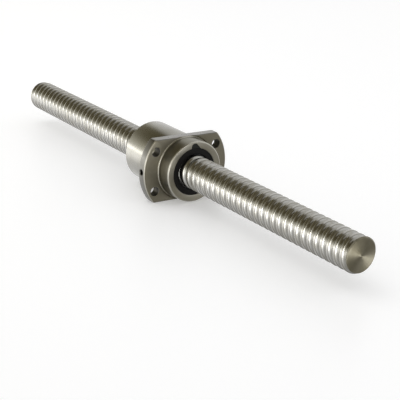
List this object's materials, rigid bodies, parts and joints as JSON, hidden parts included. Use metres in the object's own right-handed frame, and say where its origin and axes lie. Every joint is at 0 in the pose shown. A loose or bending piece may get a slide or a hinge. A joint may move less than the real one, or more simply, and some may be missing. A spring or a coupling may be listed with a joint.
{
  "type": "ball screw",
  "caption": "Threaded steel screw carrying a round nut with a two-flat flange, recirculating balls, resin return inserts and end wipers.",
  "frame": {"origin": "centre of the flange's mounting face, the side that the long barrel stands on, on the screw's axis", "axes": "+X along the screw from the long barrel to the short boss, +Z square to the flange's two flats, +Y along them"},
  "size_m": [0.345, 0.058, 0.0382],
  "materials": {
    "screw_steel": "ground and polished hardened steel with an oil film",
    "nut_steel": "turned and ground steel, satin",
    "black_resin": "moulded black resin",
    "felt": "pressed dark felt, oiled",
    "ball_steel": "polished bearing steel"
  },
  "bodies": {
    "nut": {"nut_body": "nut_steel", "front_deflector": "black_resin", "rear_deflector": "black_resin", "front_wiper_holder": "black_resin", "rear_wiper_holder": "black_resin", "balls_turn_1": "ball_steel", "balls_turn_2": "ball_steel", "balls_turn_3": "ball_steel", "balls_turn_4": "ball_steel", "balls_turn_5": "ball_steel", "balls_turn_6": "ball_steel", "balls_turn_7": "ball_steel", "balls_front_deflector": "ball_steel", "balls_rear_deflector": "ball_steel", "balls_return_tunnel": "ball_steel"},
    "felt_rings": {"front_felt_ring": "felt", "rear_felt_ring": "felt"},
    "screw": {"screw_shaft": "screw_steel"}
  },
  "joints": [
    {"name": "screw_turn", "type": "hinge", "parent": "nut", "child": "felt_rings", "pos_m": [0, 0, 0], "axis": [1, 0, 0], "range_deg": [-10080, 10440]},
    {"name": "screw_travel", "type": "slide", "parent": "felt_rings", "child": "screw", "axis": [1, 0, 0], "range_m": [-0.14, 0.145]}
  ],
  "couplings": [
    {"joint": "screw_turn", "follows": "screw_travel", "rad_per_m": 1256.6}
  ]
}
